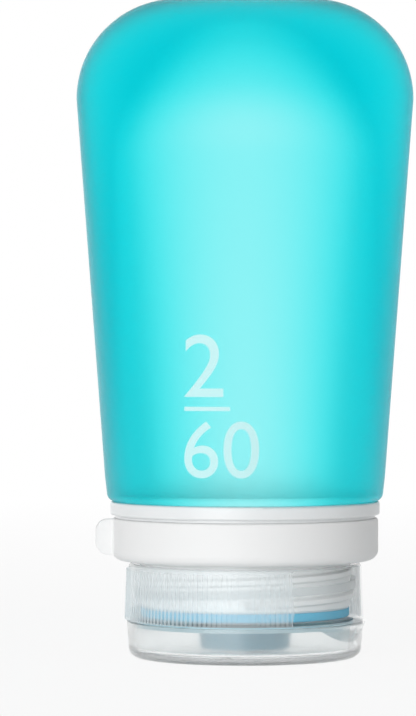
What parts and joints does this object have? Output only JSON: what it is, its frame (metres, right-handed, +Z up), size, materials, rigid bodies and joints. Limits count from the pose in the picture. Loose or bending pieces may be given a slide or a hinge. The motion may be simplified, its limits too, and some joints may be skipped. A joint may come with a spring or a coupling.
{
  "type": "travel silicone bottle",
  "caption": "Squeezable travel bottle with a translucent silicone body, threaded collar, swing-out hang loop and a ribbed screw cap with a hinged flip lid.",
  "frame": {"origin": "centre of the lid's outer face, which the bottle stands on", "axes": "+Z up to the closed end, +X along the wide way of the body, -Y towards the front"},
  "size_m": [0.0586, 0.0476, 0.1143],
  "materials": {
    "aqua_silicone": "translucent satin silicone",
    "natural_pp": "natural translucent polypropylene",
    "white_pp": "white moulded",
    "white_soft": "white satin moulded",
    "pin_steel": "plain",
    "frosted_pp": "frosted translucent polypropylene",
    "valve_silicone": "soft silicone",
    "clear_pp": "clear moulded polypropylene"
  },
  "bodies": {
    "bottle": {"silicone_bottle": "aqua_silicone", "neck_sleeve": "natural_pp", "collar_ring": "white_pp", "loop_pin": "pin_steel"},
    "loop": {"loop_gate": "white_soft"},
    "retainer": {"valve_retainer": "natural_pp"},
    "cap": {"screw_cap": "frosted_pp", "spout_valve": "valve_silicone", "hinge_strap": "frosted_pp"},
    "lid": {"flip_lid": "clear_pp"}
  },
  "joints": [
    {"name": "loop_swing", "type": "hinge", "parent": "bottle", "child": "loop", "pos_m": [0.01926, 0.00898, 0.0206], "axis": [0, 0, 1], "range_deg": [0, 55]},
    {"name": "cap_rise", "type": "slide", "parent": "bottle", "child": "retainer", "axis": [0, 0, -1], "range_m": [0, 0.006]},
    {"name": "cap_turn", "type": "hinge", "parent": "retainer", "child": "cap", "pos_m": [0, 0, 0.0115], "axis": [0, 0, -1], "range_deg": [0, 540]},
    {"name": "lid_flip", "type": "hinge", "parent": "cap", "child": "lid", "pos_m": [-0.0188, 0.00958, 0.00635], "axis": [0.454, 0.891, 0], "range_deg": [0, 150], "deforming": ["hinge_strap"]}
  ],
  "couplings": [
    {"joint": "cap_rise", "follows": "cap_turn", "m_per_rad": 0.00063662}
  ]
}
